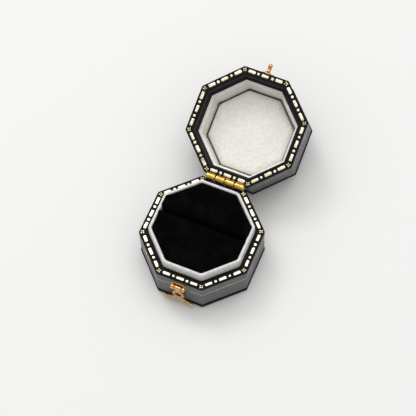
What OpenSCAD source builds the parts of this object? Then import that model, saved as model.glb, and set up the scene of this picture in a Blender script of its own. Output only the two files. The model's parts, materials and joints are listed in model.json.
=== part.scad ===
// Octagonal ring box: a leather-covered base with a raised satin collar and a
// split velvet ring pad, a lid on a barrel hinge, and a hasp that drops over a stud.
// Millimetres, +Z up. The origin is the centre of the base's underside, the clasp
// faces -Y and the hinge is at +Y. The lid's pieces are written closed, then swung open.

/* [Box] */
// Width of the box across its flats
box_w = 50; // [49:0.5:54]
// Height of the base, from the table to its rim
base_h = 19.5; // [19.5:0.5:22]
// Height of the lid, from its rim to its top
lid_h = 20; // [19.5:0.5:22]
// Gap between the two rims when the lid is shut
rim_gap = 0.3; // [0.25:0.05:0.5]
// Angle that the lid is drawn open
lid_open = 160; // [0:5:160]

/* [Covering] */
// Thickness of the leather round the walls
leather_t = 0.5; // [0.3:0.05:0.6]
// Thickness of the black facing on each rim
facing_t = 0.45; // [0.3:0.05:0.5]
// Thickness of the felt under the base
felt_t = 0.5; // [0.4:0.1:0.8]
// Distance from a rim's outer edge to the middle of its gilt border
gilt_inset = 1.5; // [1.4:0.05:1.6]

/* [Base] */
// Thickness of the bottom panel
bottom_t = 2.1; // [1.8:0.1:2.4]
// How far the bottom panel stands out past the wall
bottom_lip = 0.33; // [0.2:0.01:0.4]
// Thickness of the floor board inside the wall
floor_t = 3; // [2:0.5:3.5]
// Width of the base's rim, from its outer edge to the collar
base_rim_w = 3.75; // [3.7:0.05:3.9]

/* [Collar and ring pad] */
// Height of the collar above the rim
collar_rise = 5; // [4.4:0.1:5.2]
// Thickness of the collar, satin and card together
collar_t = 1.4; // [1.3:0.1:1.7]
// Thickness of the satin on each face of the collar card
satin_t = 0.3; // [0.2:0.05:0.4]
// Height of the block under the ring pad
block_h = 7; // [6:0.5:8]
// Width of the ring slot
slot_w = 0.8; // [0.6:0.1:1.2]
// Distance of the ring slot behind the middle of the box
slot_y = 2; // [0:0.5:3]

/* [Lid] */
// Thickness of the top panel
top_t = 1.8; // [1.6:0.1:2]
// How far the top panel stands out past the wall
top_lip = 0.45; // [0.3:0.05:0.5]
// Width of the lid's rim
lid_rim_w = 3.5; // [3.4:0.05:3.5]
// Depth of the straight black wall inside the rim
inner_wall_h = 5.5; // [5.4:0.1:6]
// Width of the ledge between the black wall and the satin lining
ledge_w = 1.1; // [0.9:0.1:1.2]
// How much narrower the lining gets towards the top, across the flats
lining_draw = 3.7; // [3.4:0.1:4]
// Thickness of the padded satin panel
pad_t = 2.8; // [2:0.2:3]

/* [Hinge] */
// Length of the hinge barrel
hinge_len = 18; // [16:0.5:18]
// Radius of the hinge barrel
barrel_r = 1.7; // [1.6:0.05:1.7]
// Distance of the hinge axis behind the back wall
hinge_out = 1; // [1:0.05:1.1]
// Radius of the hinge pin
hinge_pin_r = 0.6; // [0.5:0.05:0.7]
// Length of each hinge leaf below or above its rim
leaf_l = 7.5; // [6:0.5:8]

/* [Clasp] */
// Height of the hasp's axis above the table
hasp_z = 15.5; // [15.5:0.1:16]
// Distance of the hasp's axis in front of the wall
hasp_out = 1.4; // [1.4:0.05:1.6]
// Radius of the clasp's barrel
clasp_r = 1.1; // [1:0.05:1.15]
// Length of the clasp's barrel
clasp_len = 6.5; // [6:0.1:7]
// Thickness of the hasp
hasp_t = 0.8; // [0.7:0.05:0.85]
// Distance from the hasp's axis to the middle of its hole
hasp_hole = 6.9; // [6.9:0.05:7.1]
// How far the lid's stud stands out of the wall
stud_out = 5.15; // [4.8:0.05:5.4]

/* [Hidden] */

$fn = 48;
past = 1;                       // how far a cutting shape runs past its face
side_angle = 45;                // an octagon turns by this from side to side

// Widths across the flats
wall_w = box_w - 2 * leather_t;
collar_w = box_w - 2 * base_rim_w;
pad_w = collar_w - 2 * collar_t;
pad_gap = 0.1;                  // between the ring pad and the collar
recess_w = box_w - 2 * lid_rim_w;
inner_wall_t = 0.25;            // thickness of the black lining paper
lining_w = recess_w - 2 * ledge_w;
lining_t = 0.7;                 // thickness of the side lining at the top
lid_card_w = lining_w - lining_draw - 0.2;
lid_pad_w = lid_card_w - 0.4;

// Heights
bottom_z = felt_t + bottom_t;
floor_z = bottom_z + floor_t;
block_z = floor_z + block_h;
pad_z = base_h + collar_rise - 0.2;
collar_z = base_h + collar_rise;
lip_z = collar_z - 1.1;         // the collar's outer face steps in from here up
lip_in = 0.2;
lid_z = base_h + rim_gap;
lid_top_z = lid_z + lid_h;
panel_z = lid_top_z - top_t;
ledge_z = lid_z + inner_wall_h;
ledge_t = 0.3;
lid_card_t = 0.6;

// Gilding
gilt_t = 0.08;
gilt_line_h = 0.35;
gilt_line_t = 0.05;
base_line_z = base_h - 6.2;
lid_line_z = lid_z + 6.2;
dash_l = 3.4;
dash_w = 1.3;
dot_r = 0.62;
border_step = 3.2;              // from a dash to the next dot
corner_dot_r = 0.42;
corner_dot_back = 0.8;          // from a corner back along each side
hinge_side_in = 0.3;           // how far the border keeps clear of the hinge

// Hinge
hinge_y = box_w / 2 + hinge_out;
hinge_z = base_h + rim_gap / 2;
knuckle_step = hinge_len / 4;
knuckle_gap = 0.1;
pin_clear = 0.05;
barrel_clear = 0.3;
leaf_t = 0.5;
leaf_y = box_w / 2 - leather_t - leaf_t;
tack_r = 0.35;
tack_head_r = 0.75;
tack_head_t = 0.2;
tack_l = 1.7;
tack_xs = [-6, 0, 6];
base_tack_z = base_h - 5;
lid_tack_z = lid_z + 5;

// Clasp
front_y = -box_w / 2;
hasp_y = front_y - hasp_out;
clasp_pin_r = 0.4;
clasp_pin_clear = 0.06;
centre_len = 3.3;
clasp_gap = 0.1;
plate_w = 7;
plate_t = 0.5;
plate_top = base_h - 1.9;
plate_pin_r = 0.35;
plate_pin_head_r = 0.42;
plate_pin_head_t = 0.2;
plate_pin_l = 2.4;
plate_pin_x = 2.5;
plate_pin_z = plate_top - 0.5;
stud_z = hasp_z + hasp_hole + 0.15;
tail_ball_x = 5.95;
tail_ball_drop = 12.4;
tail_ball_r = 0.75;
catch_w = 6.5;
catch_h = 4.4;
stud_shank_r = 0.6;
stud_l = 2.4;
stud_ball_r = 1.05;

// ---- shared shapes ----

// Octagonal prism with flats towards X and Y
module oct(w, z0, z1)
    translate([0, 0, z0])
        rotate([0, 0, side_angle / 2])
            cylinder(r = w / 2 / cos(side_angle / 2), h = z1 - z0, $fn = 8);

// Octagonal prism that narrows from w0 at z0 to w1 at z1
module oct_taper(w0, w1, z0, z1)
    translate([0, 0, z0])
        rotate([0, 0, side_angle / 2])
            cylinder(r1 = w0 / 2 / cos(side_angle / 2), r2 = w1 / 2 / cos(side_angle / 2),
                h = z1 - z0, $fn = 8);

module oct_ring(w_out, w_in, z0, z1)
    difference() {
        oct(w_out, z0, z1);
        oct(w_in, z0 - past, z1 + past);
    }

// Rod along X, centred on x
module rod_x(r, x, l, y, z)
    translate([x - l / 2, y, z])
        rotate([0, 90, 0])
            cylinder(r = r, h = l);

// Rod along Y, from y0 to y1
module rod_y(r, x, y0, y1, z)
    translate([x, y1, z])
        rotate([90, 0, 0])
            cylinder(r = r, h = y1 - y0);

// Swings a piece of the lid from shut to open about the hinge
module swung()
    translate([0, hinge_y, hinge_z])
        rotate([-lid_open, 0, 0])
            translate([0, -hinge_y, -hinge_z])
                children();

// Room round the barrel in a wall, a rim or a leather
module barrel_notch()
    rod_x(barrel_r + barrel_clear, 0, hinge_len + 2 * barrel_clear, hinge_y, hinge_z);

// ---- shared pieces ----

// Dash-and-dot border round a rim, with a pair of dots at each corner.
// plain_hinge_side leaves the side next to the hinge with its corner dots only.
module gilding(z, plain_hinge_side = false) {
    border_w = box_w - 2 * gilt_inset;
    corner_x = border_w / 2 * tan(side_angle / 2) - corner_dot_back;
    for (side = [0 : 7])
        rotate([0, 0, side * side_angle])
            translate([0, -border_w / 2 + (side == 4 ? hinge_side_in : 0), z]) {
                if (side != 4 || !plain_hinge_side) {
                    for (k = [-1 : 1])
                        translate([2 * k * border_step - dash_l / 2, -dash_w / 2, 0])
                            cube([dash_l, dash_w, gilt_t]);
                    for (k = [-1, 1])
                        translate([k * border_step, 0, 0])
                            cylinder(r = dot_r, h = gilt_t);
                }
                for (k = [-1, 1])
                    translate([k * corner_x, 0, 0])
                        cylinder(r = corner_dot_r, h = gilt_t);
            }
}

// Wooden wall with a pocket for the hinge leaf and holes for its tacks
module wall_frame(w_in, z0, z1, pocket_z0, pocket_z1, tack_z)
    difference() {
        oct_ring(wall_w, w_in, z0, z1);
        translate([-hinge_len / 2, leaf_y, pocket_z0])
            cube([hinge_len, leaf_t + past, pocket_z1 - pocket_z0]);
        barrel_notch();
        for (x = tack_xs)
            rod_y(tack_r, x, leaf_y - tack_l, leaf_y + past, tack_z);
    }

// Hinge knuckle, from 0 at the left to 3, grown by extra all round
module knuckle(i, extra)
    rod_x(barrel_r + extra, (i - 1.5) * knuckle_step,
        knuckle_step - knuckle_gap + (extra > 0 ? 2 * knuckle_gap : 0), hinge_y, hinge_z);

// Flat leaf with its own knuckles and room for the other leaf's
module hinge_leaf(own, other, z0, z1, bore_r, tack_z)
    difference() {
        union() {
            difference() {
                translate([-hinge_len / 2, leaf_y, z0])
                    cube([hinge_len, leaf_t, z1 - z0]);
                for (i = other)
                    knuckle(i, barrel_clear);
            }
            for (i = own)
                knuckle(i, 0);
        }
        rod_x(bore_r, 0, hinge_len + past, hinge_y, hinge_z);
        for (x = tack_xs) {
            rod_y(tack_r, x, leaf_y - past, leaf_y + leaf_t + past, tack_z);
            rod_y(tack_head_r, x, leaf_y + leaf_t - tack_head_t, leaf_y + leaf_t + past, tack_z);
        }
    }

module hinge_tacks(tack_z)
    for (x = tack_xs) {
        rod_y(tack_r, x, leaf_y - tack_l, leaf_y + leaf_t - tack_head_t, tack_z);
        rod_y(tack_head_r, x, leaf_y + leaf_t - tack_head_t, leaf_y + leaf_t, tack_z);
    }

// Pair of round-headed pins driven into the front wall through a plate
module plate_pins(x_out, z)
    for (x = [-x_out, x_out]) {
        rod_y(plate_pin_r, x, front_y - plate_t, front_y + plate_pin_l, z);
        rod_y(plate_pin_head_r, x, front_y - plate_t - plate_pin_head_t, front_y - plate_t, z);
    }

module plate_pin_holes(x_out, z)
    for (x = [-x_out, x_out])
        rod_y(plate_pin_r, x, front_y - past, front_y + plate_pin_l, z);

// ---- base ----

module base_felt()
    color("#2c2c2e")
        oct(box_w - 2, 0, felt_t);

module base_bottom_panel()
    color("#141415")
        oct(box_w + 2 * bottom_lip, felt_t, bottom_z);

module base_floor_board()
    color("burlywood")
        oct(collar_w, bottom_z, floor_z);

module base_wall_frame()
    color("tan")
        difference() {
            wall_frame(collar_w, bottom_z, base_h - facing_t, base_h - leaf_l, base_h, base_tack_z);
            plate_pin_holes(plate_pin_x, plate_pin_z);
        }

module base_leather()
    color("#5c5d5f")
        difference() {
            oct_ring(box_w, wall_w, bottom_z, base_h - facing_t);
            barrel_notch();
            plate_pin_holes(plate_pin_x, plate_pin_z);
        }

module base_rim_facing()
    color("#18181a")
        difference() {
            oct_ring(box_w, collar_w, base_h - facing_t, base_h);
            barrel_notch();
            translate([-hinge_len / 2, leaf_y, base_h - past])
                cube([hinge_len, leaf_t, 2 * past]);
        }

module base_rim_gilding()
    color("#e8d9a0")
        gilding(base_h, true);

module base_side_gilt_line()
    color("#a3966c")
        oct_ring(box_w + 2 * gilt_line_t, box_w, base_line_z - gilt_line_h / 2,
            base_line_z + gilt_line_h / 2);

module collar_card()
    color("beige")
        oct_ring(collar_w - 2 * satin_t, pad_w + 2 * satin_t, floor_z, collar_z - 2 * satin_t);

module collar_satin()
    color("#b9b7b2")
        difference() {
            union() {
                oct(collar_w, floor_z, lip_z);
                oct(collar_w - 2 * lip_in, floor_z, collar_z);
            }
            oct(pad_w, floor_z - past, collar_z + past);
            oct_ring(collar_w - 2 * satin_t, pad_w + 2 * satin_t, floor_z - past,
                collar_z - 2 * satin_t);
        }

module pad_block()
    color("burlywood")
        oct(pad_w, floor_z, block_z);

// Half of the ring pad: side -1 is in front of the slot and side 1 behind it
module ring_pad(side)
    color("#0b0b0c")
        intersection() {
            oct(pad_w - 2 * pad_gap, block_z, pad_z);
            translate([-box_w / 2, slot_y + (side < 0 ? -box_w - slot_w / 2 : slot_w / 2), 0])
                cube([box_w, box_w, collar_z]);
        }

module ring_pad_front()
    ring_pad(-1);

module ring_pad_rear()
    ring_pad(1);

module hinge_leaf_base()
    color("#d9b44a")
        hinge_leaf([0, 2], [1, 3], base_h - leaf_l, base_h, hinge_pin_r, base_tack_z);

module hinge_tacks_base()
    color("#b8923a")
        hinge_tacks(base_tack_z);

module hinge_pin()
    color("#c9a548")
        rod_x(hinge_pin_r, 0, hinge_len, hinge_y, hinge_z);

// ---- clasp on the base ----

module clasp_plate()
    color("#c98f5c")
        difference() {
            union() {
                difference() {
                    translate([-plate_w / 2, front_y - plate_t, hasp_z - 0.6])
                        cube([plate_w, plate_t, plate_top - hasp_z + 0.6]);
                    rod_x(clasp_r + barrel_clear, 0, centre_len + 2 * clasp_gap, hasp_y, hasp_z);
                }
                for (side = [-1, 1])
                    rod_x(clasp_r, side * (clasp_len + centre_len + 2 * clasp_gap) / 4,
                        (clasp_len - centre_len - 2 * clasp_gap) / 2, hasp_y, hasp_z);
            }
            rod_x(clasp_pin_r, 0, clasp_len + past, hasp_y, hasp_z);
            plate_pin_holes(plate_pin_x, plate_pin_z);
        }

module clasp_plate_pins()
    color("#b87f4d")
        plate_pins(plate_pin_x, plate_pin_z);

module clasp_hinge_pin()
    color("#b87f4d")
        rod_x(clasp_pin_r, 0, clasp_len, hasp_y, hasp_z);

// Ball turned about Z
module ball(r)
    rotate_extrude()
        intersection() {
            circle(r = r);
            translate([0, -r])
                square([r, 2 * r]);
        }

// Round-ended slot shape, l from centre to centre along Y
module slot_2d(r, l) {
    for (end = [-l / 2, l / 2])
        translate([0, end])
            circle(r = r);
    square([2 * r, l], center = true);
}

// Hasp outline in its own plane, its axis at the origin and hanging down
module hasp_2d()
    difference() {
        union() {
            polygon([[-1.3, 0], [1.3, 0], [1, -4], [-1, -4]]);
            translate([0, -hasp_hole])
                slot_2d(2.75, 1.2);
            // Flared tail
            difference() {
                polygon([[-2, -9.2], [2, -9.2], [6, -11.8], [6, -12.9], [0, -11.4],
                    [-6, -12.9], [-6, -11.8]]);
                for (side = [-1, 1])
                    translate([side * 4.4, -8.6])
                        circle(r = 2);
            }
        }
        translate([0, -hasp_hole])
            slot_2d(1.6, 1.3);
    }

module clasp_hasp()
    color("#d29a66")
        difference() {
            union() {
                translate([0, hasp_y + hasp_t / 2, hasp_z])
                    rotate([90, 0, 0])
                        linear_extrude(hasp_t)
                            hasp_2d();
                rod_x(clasp_r, 0, centre_len, hasp_y, hasp_z);
                for (side = [-1, 1])
                    translate([side * tail_ball_x, hasp_y - 0.15, hasp_z - tail_ball_drop])
                        ball(tail_ball_r);
            }
            rod_x(clasp_pin_r + clasp_pin_clear, 0, centre_len + past, hasp_y, hasp_z);
        }

// ---- lid ----

module lid_top_panel()
    color("#141415")
        swung()
            oct(box_w + 2 * top_lip, panel_z, lid_top_z);

module lid_wall_frame()
    color("tan")
        swung()
            difference() {
                wall_frame(recess_w + 2 * inner_wall_t, lid_z + facing_t, panel_z, lid_z,
                    lid_z + leaf_l, lid_tack_z);
                plate_pin_holes(plate_pin_x, stud_z);
                rod_y(stud_shank_r, 0, front_y - past, front_y + stud_l, stud_z);
            }

module lid_leather()
    color("#5c5d5f")
        swung()
            difference() {
                oct_ring(box_w, wall_w, lid_z + facing_t, panel_z);
                barrel_notch();
                plate_pin_holes(plate_pin_x, stud_z);
                rod_y(stud_shank_r, 0, front_y - past, front_y + stud_l, stud_z);
            }

module lid_rim_facing()
    color("#18181a")
        swung()
            difference() {
                oct_ring(box_w, recess_w, lid_z, lid_z + facing_t);
                barrel_notch();
                translate([-hinge_len / 2, leaf_y, lid_z - past])
                    cube([hinge_len, leaf_t, 2 * past]);
            }

module lid_rim_gilding()
    color("#e8d9a0")
        swung()
            gilding(lid_z - gilt_t);

module lid_side_gilt_line()
    color("#a3966c")
        swung()
            oct_ring(box_w + 2 * gilt_line_t, box_w, lid_line_z - gilt_line_h / 2,
                lid_line_z + gilt_line_h / 2);

module lid_inner_wall()
    color("#101011")
        swung()
            difference() {
                oct(recess_w + 2 * inner_wall_t, lid_z + facing_t, ledge_z);
                oct(recess_w, lid_z, ledge_z - ledge_t);
                oct(lining_w, lid_z, ledge_z + past);
            }

module lid_side_lining()
    color("#cbc5ba")
        swung()
            difference() {
                oct_taper(recess_w + 2 * inner_wall_t, lining_w - lining_draw + 2 * lining_t,
                    ledge_z, panel_z);
                // The hole keeps its taper a little past both ends
                oct_taper(lining_w + lining_draw * past / (panel_z - ledge_z),
                    lining_w - lining_draw * (1 + past / (panel_z - ledge_z)),
                    ledge_z - past, panel_z + past);
            }

module lid_pad_card()
    color("beige")
        swung()
            oct(lid_card_w, panel_z - lid_card_t, panel_z);

module lid_satin_pad()
    color("#d4cfc6")
        swung()
            oct(lid_pad_w, panel_z - lid_card_t - pad_t, panel_z - lid_card_t);

module hinge_leaf_lid()
    color("#d9b44a")
        swung()
            hinge_leaf([1, 3], [0, 2], lid_z, lid_z + leaf_l, hinge_pin_r + pin_clear, lid_tack_z);

module hinge_tacks_lid()
    color("#b8923a")
        swung()
            hinge_tacks(lid_tack_z);

module lid_catch_plate()
    color("#c98f5c")
        swung()
            difference() {
                translate([0, front_y, stud_z])
                    rotate([90, 90, 0])
                        linear_extrude(plate_t)
                            slot_2d(catch_h / 2, catch_w - catch_h);
                plate_pin_holes(plate_pin_x, stud_z);
                rod_y(stud_shank_r, 0, front_y - past, front_y + past, stud_z);
            }

module lid_catch_pins()
    color("#b87f4d")
        swung()
            plate_pins(plate_pin_x, stud_z);

// Turned stud: a shank in the wall, a flared foot on the plate, a neck and a ball
module lid_catch_stud()
    color("#d29a66")
        swung()
            translate([0, front_y, stud_z])
                rotate([90, 0, 0]) {
                    translate([0, 0, -stud_l])
                        cylinder(r = stud_shank_r, h = stud_l + plate_t + past / 2);
                    rotate_extrude()
                        polygon([[0, plate_t], [1.7, plate_t], [1.2, 0.95], [0.85, 1.6],
                            [0.8, 3.4], [0, 3.4]]);
                    translate([0, 0, stud_out - stud_ball_r])
                        sphere(r = stud_ball_r);
                }

base_felt();
base_bottom_panel();
base_floor_board();
base_wall_frame();
base_leather();
base_rim_facing();
base_rim_gilding();
base_side_gilt_line();
collar_card();
collar_satin();
pad_block();
ring_pad_front();
ring_pad_rear();
hinge_leaf_base();
hinge_tacks_base();
hinge_pin();
clasp_plate();
clasp_plate_pins();
clasp_hinge_pin();
clasp_hasp();
lid_top_panel();
lid_wall_frame();
lid_leather();
lid_rim_facing();
lid_rim_gilding();
lid_side_gilt_line();
lid_inner_wall();
lid_side_lining();
lid_pad_card();
lid_satin_pad();
hinge_leaf_lid();
hinge_tacks_lid();
lid_catch_plate();
lid_catch_pins();
lid_catch_stud();
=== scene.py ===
import json
import math
import random

import bmesh
import bpy
from mathutils import Matrix, Vector, noise

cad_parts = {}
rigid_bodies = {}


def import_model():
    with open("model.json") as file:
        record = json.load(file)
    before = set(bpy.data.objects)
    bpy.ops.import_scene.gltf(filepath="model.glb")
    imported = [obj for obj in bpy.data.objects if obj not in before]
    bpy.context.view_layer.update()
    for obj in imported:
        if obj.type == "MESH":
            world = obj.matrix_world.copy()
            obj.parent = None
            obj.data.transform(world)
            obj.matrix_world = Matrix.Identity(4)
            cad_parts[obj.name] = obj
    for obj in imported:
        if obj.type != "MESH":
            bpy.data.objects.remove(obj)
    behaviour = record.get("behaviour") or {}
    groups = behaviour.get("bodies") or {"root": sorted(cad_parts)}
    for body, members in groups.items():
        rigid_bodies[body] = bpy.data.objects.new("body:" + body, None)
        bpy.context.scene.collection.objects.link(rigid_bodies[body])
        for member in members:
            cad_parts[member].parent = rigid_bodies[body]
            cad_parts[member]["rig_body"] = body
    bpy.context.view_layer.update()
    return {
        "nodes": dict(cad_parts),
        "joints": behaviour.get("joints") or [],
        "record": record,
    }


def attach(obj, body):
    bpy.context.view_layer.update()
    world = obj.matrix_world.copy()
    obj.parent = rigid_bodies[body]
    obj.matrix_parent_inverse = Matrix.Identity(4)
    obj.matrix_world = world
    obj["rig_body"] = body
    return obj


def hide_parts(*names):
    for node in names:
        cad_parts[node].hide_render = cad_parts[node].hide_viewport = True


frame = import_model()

MM = 0.001
SIDES = 8
TURN = 2 * math.pi / SIDES

# ==== measures from the frame ====

joints = {joint["name"]: joint for joint in frame["joints"]}
lid_hinge = joints["lid_hinge"]
hinge_at = Vector(lid_hinge["pos_m"])
open_angle = math.radians(max(lid_hinge["range_deg"]))
swing = (
    Matrix.Translation(hinge_at)
    @ Matrix.Rotation(-open_angle, 4, Vector(lid_hinge["axis"]))
    @ Matrix.Translation(-hinge_at)
)


def shut_box(node):
    """Lowest and highest corner of a CAD node in millimetres, with the lid shut."""
    home = Matrix.Identity(4)
    if frame["nodes"][node]["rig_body"] == "lid":
        home = swing.inverted()
    points = [home @ vertex.co / MM for vertex in frame["nodes"][node].data.vertices]
    low = Vector(min(point[k] for point in points) for k in range(3))
    high = Vector(max(point[k] for point in points) for k in range(3))
    return low, high


def width_of(node):
    low, high = shut_box(node)
    return high.x - low.x


box_w = width_of("base_leather")
foot_z = shut_box("base_leather")[0].z
base_z = shut_box("base_rim_facing")[1].z
facing_t = base_z - shut_box("base_rim_facing")[0].z
collar_w = width_of("collar_satin")
collar_z = shut_box("collar_satin")[1].z
pad_w = width_of("pad_block")
pad_low_z = shut_box("ring_pad_front")[0].z
pad_z = shut_box("ring_pad_front")[1].z
slot_y = (shut_box("ring_pad_front")[1].y + shut_box("ring_pad_rear")[0].y) / 2
slot_w = shut_box("ring_pad_rear")[0].y - shut_box("ring_pad_front")[1].y
lid_z = shut_box("lid_rim_facing")[0].z
lid_top_z = shut_box("lid_top_panel")[1].z
panel_z = shut_box("lid_top_panel")[0].z
recess_w = width_of("lid_inner_wall")
ledge_z = shut_box("lid_inner_wall")[1].z
hinge_y = hinge_at.y / MM
hinge_z = hinge_at.z / MM
barrel_r = shut_box("hinge_leaf_base")[1].y - hinge_y
hinge_len = width_of("hinge_pin")
hasp_at = Vector(joints["hasp_pivot"]["pos_m"]) / MM
front_y = -box_w / 2
stud_z = (shut_box("lid_catch_plate")[0].z + shut_box("lid_catch_plate")[1].z) / 2

LINING_T = 0.25          # black paper inside the lid's rim
LEDGE_W = 1.1            # from the black wall to the satin lining
LINING_DRAW = 3.7        # how much narrower the lining gets towards the top
GILT_INSET = 1.5         # from a rim's outer edge to the middle of its border
SIM_SCALE = 20           # cloth is simulated this many times its real size
NOISE_SEED = 1           # without a seed, Blender's noise differs from run to run
noise.seed_set(NOISE_SEED)

# ==== camera, light and floor ====

CAMERA_TARGET = Vector((-5.95, 19.91, 0)) * MM
CAMERA_AWAY = 608.3 * MM
CAMERA_AZIMUTH = math.radians(25.3)
CAMERA_ELEVATION = math.radians(64.25)
CAMERA_ROLL = math.radians(-2.7)
CAMERA_LENS = 117.3


def add_camera():
    azimuth, elevation = CAMERA_AZIMUTH, CAMERA_ELEVATION
    back = Vector((
        math.sin(azimuth) * math.cos(elevation),
        -math.cos(azimuth) * math.cos(elevation),
        math.sin(elevation),
    ))
    right = Vector((math.cos(azimuth), math.sin(azimuth), 0))
    up = back.cross(right)
    turned_right = math.cos(CAMERA_ROLL) * right + math.sin(CAMERA_ROLL) * up
    turned_up = math.cos(CAMERA_ROLL) * up - math.sin(CAMERA_ROLL) * right
    data = bpy.data.cameras.new("camera")
    data.lens = CAMERA_LENS
    data.clip_start = 0.01
    camera = bpy.data.objects.new("camera", data)
    bpy.context.scene.collection.objects.link(camera)
    axes = Matrix((turned_right, turned_up, back)).transposed().to_4x4()
    camera.matrix_world = Matrix.Translation(CAMERA_TARGET + back * CAMERA_AWAY) @ axes
    bpy.context.scene.camera = camera


def add_area_light(name, azimuth, elevation, away, size, power):
    """A square area light aimed at the box, azimuth anticlockwise from +X."""
    turn, rise = math.radians(azimuth), math.radians(elevation)
    toward = Vector((
        math.cos(turn) * math.cos(rise),
        math.sin(turn) * math.cos(rise),
        math.sin(rise),
    ))
    data = bpy.data.lights.new(name, "AREA")
    data.size = size
    data.energy = power
    light = bpy.data.objects.new(name, data)
    bpy.context.scene.collection.objects.link(light)
    light.location = Vector((0, 0.02, 0.01)) + toward * away
    light.rotation_euler = toward.to_track_quat("Z", "Y").to_euler()


def add_studio():
    world = bpy.data.worlds.new("studio")
    bpy.context.scene.world = world
    world.use_nodes = True
    tree = world.node_tree
    background = tree.nodes["Background"]
    background.inputs["Color"].default_value = (1, 1, 1, 1)
    # Brighter overhead than at the horizon
    direction = tree.nodes.new("ShaderNodeTexCoord")
    split = tree.nodes.new("ShaderNodeSeparateXYZ")
    tree.links.new(direction.outputs["Generated"], split.inputs["Vector"])
    height = tree.nodes.new("ShaderNodeMapRange")
    height.inputs["To Min"].default_value = 0.24
    height.inputs["To Max"].default_value = 0.90
    tree.links.new(split.outputs["Z"], height.inputs["Value"])
    tree.links.new(height.outputs["Result"], background.inputs["Strength"])
    add_area_light("key", azimuth=150, elevation=55, away=1.3, size=0.42, power=3.1)
    add_area_light("top", azimuth=95, elevation=76, away=1.5, size=1.1, power=5.8)
    bpy.context.scene.view_settings.view_transform = "Standard"

    mesh = bpy.data.meshes.new("floor")
    reach = 3.0
    mesh.from_pydata(
        [(-reach, -reach, 0), (reach, -reach, 0), (reach, reach, 0), (-reach, reach, 0)],
        [], [(0, 1, 2, 3)],
    )
    floor = bpy.data.objects.new("floor", mesh)
    bpy.context.scene.collection.objects.link(floor)
    floor_paper()
    mesh.materials.append(LOOKS["floor_paper"])


# ==== materials ====


LOOKS = {}               # every material by its name, which is its slot's name


class Look:
    """A Principled material and short ways to add nodes to it."""

    def __init__(self, name, colour, roughness, metallic=0.0, **sockets):
        LOOKS[name] = bpy.data.materials.new(name)
        LOOKS[name].use_nodes = True
        self.tree = LOOKS[name].node_tree
        self.shader = self.tree.nodes["Principled BSDF"]
        self.put("Base Color", (*colour, 1))
        self.put("Roughness", roughness)
        self.put("Metallic", metallic)
        for socket, value in sockets.items():
            self.put(socket.replace("_", " "), value)
        self.where = self.add("ShaderNodeTexCoord").outputs["Object"]

    def put(self, socket, value):
        self.shader.inputs[socket].default_value = value

    def add(self, kind, **inputs):
        node = self.tree.nodes.new(kind)
        for socket, value in inputs.items():
            node.inputs[socket.replace("_", " ")].default_value = value
        return node

    def link(self, source, target):
        self.tree.links.new(source, target)

    def noise(self, feature, detail=3.0, roughness=0.5, distortion=0.0):
        """Noise with features of that size in millimetres, as a 0 to 1 output."""
        node = self.add("ShaderNodeTexNoise", Scale=1 / (feature * MM), Detail=detail,
                        Roughness=roughness, Distortion=distortion)
        self.link(self.where, node.inputs["Vector"])
        return node.outputs["Fac"]

    def stretched_noise(self, feature, scale, detail, distortion=0.0):
        """Noise whose axes are scaled, so that its features run along the small ones."""
        mapping = self.add("ShaderNodeMapping")
        mapping.inputs["Scale"].default_value = scale
        self.link(self.where, mapping.inputs["Vector"])
        node = self.add("ShaderNodeTexNoise", Scale=1 / (feature * MM), Detail=detail,
                        Distortion=distortion)
        self.link(mapping.outputs["Vector"], node.inputs["Vector"])
        return node.outputs["Fac"]

    def cells(self, feature, kind="F1"):
        node = self.add("ShaderNodeTexVoronoi", Scale=1 / (feature * MM))
        node.feature = kind
        self.link(self.where, node.inputs["Vector"])
        return node.outputs["Distance"]

    def remap(self, source, low, high, to_low=0.0, to_high=1.0):
        node = self.add("ShaderNodeMapRange")
        for socket, value in zip(("From Min", "From Max", "To Min", "To Max"),
                                 (low, high, to_low, to_high)):
            node.inputs[socket].default_value = value
        self.link(source, node.inputs["Value"])
        return node.outputs["Result"]

    def maths(self, operation, first, second):
        node = self.add("ShaderNodeMath")
        node.operation = operation
        for index, value in enumerate((first, second)):
            if isinstance(value, (int, float)):
                node.inputs[index].default_value = value
            else:
                self.link(value, node.inputs[index])
        return node.outputs["Value"]

    def mix(self, share, first, second):
        """Colour mix; each colour is a tuple or another output."""
        node = self.add("ShaderNodeMix")
        node.data_type = "RGBA"
        self.link(share, node.inputs["Factor"])
        for socket, value in (("A", first), ("B", second)):
            target = next(s for s in node.inputs if s.name == socket and s.type == "RGBA")
            if isinstance(value, tuple):
                target.default_value = (*value, 1)
            else:
                self.link(value, target)
        return next(s for s in node.outputs if s.type == "RGBA")

    def colour_by(self, share, first, second):
        self.link(self.mix(share, first, second), self.shader.inputs["Base Color"])

    def bump(self, height, depth, strength=1.0):
        """Adds relief of that depth in millimetres, on top of any there already."""
        node = self.add("ShaderNodeBump", Strength=strength, Distance=depth * MM)
        self.link(height, node.inputs["Height"])
        normal = self.shader.inputs["Normal"]
        if normal.links:
            self.link(normal.links[0].from_socket, node.inputs["Normal"])
        self.link(node.outputs["Normal"], normal)

    def wear_and_shade_at_edges(self):
        """The edge attribute that add_piece() paints along edges, 0 to 1: scuffs on leather,
        rubbed brass, and painted shade along the foil's edges.
        """
        node = self.add("ShaderNodeAttribute")
        node.attribute_name = "edge_wear_and_shade"
        return node.outputs["Fac"]


def floor_paper():
    look = Look("floor_paper", (0.875, 0.875, 0.862), 0.8)
    look.put("Specular IOR Level", 0.15)
    look.bump(look.noise(0.8, 4), 0.01, 0.4)


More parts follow.
